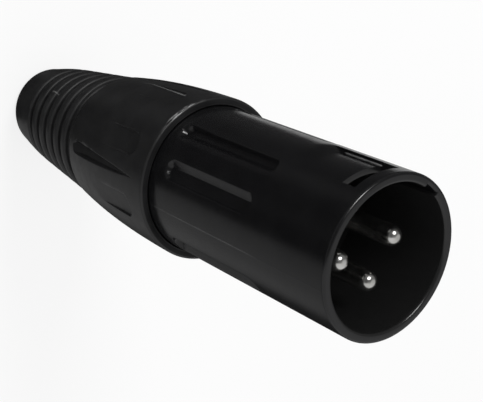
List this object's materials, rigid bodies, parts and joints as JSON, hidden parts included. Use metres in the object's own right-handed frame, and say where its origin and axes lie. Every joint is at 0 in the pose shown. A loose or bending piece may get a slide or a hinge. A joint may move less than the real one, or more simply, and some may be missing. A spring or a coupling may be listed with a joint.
{
  "type": "circular male cable plug",
  "caption": "Round male cable plug: an open metal shell around contact pins, a tapered screw-on grip sleeve and a ringed rubber cable boot.",
  "frame": {"origin": "centre of the boot's flat tail face, which the plug stands on", "axes": "+Z along the plug's axis from the boot to the open mouth; +Y towards the latch pocket; +X completes the right-handed frame, towards contact pin 2"},
  "size_m": [0.0212, 0.0212, 0.074],
  "materials": {
    "shell_metal": "semi-gloss black coating on a die casting",
    "insert_plastic": "moulded black plastic",
    "contact_silver": "bright silver plating on turned brass",
    "spring_metal": "tinned spring strip",
    "chuck_plastic": "moulded black nylon",
    "sleeve_plastic": "satin black plastic with light scuffs on its front edge",
    "boot_rubber": "soft black rubber"
  },
  "bodies": {
    "holder": {"sleeve": "sleeve_plastic", "boot": "boot_rubber"},
    "collet": {"chuck": "chuck_plastic"},
    "barrel": {"shell": "shell_metal", "insert": "insert_plastic", "contact_pin_1": "contact_silver", "contact_pin_2": "contact_silver", "contact_pin_3": "contact_silver", "earth_spring": "spring_metal"}
  },
  "joints": [
    {"name": "sleeve_turn", "type": "hinge", "parent": "holder", "child": "collet", "pos_m": [0, 0, 0.03], "axis": [0, 0, 1], "range_deg": [0, 1800]},
    {"name": "shell_travel", "type": "slide", "parent": "collet", "child": "barrel", "axis": [0, 0, 1], "range_m": [0, 0.00625]}
  ],
  "couplings": [
    {"joint": "shell_travel", "follows": "sleeve_turn", "m_per_rad": 0.00019894}
  ]
}
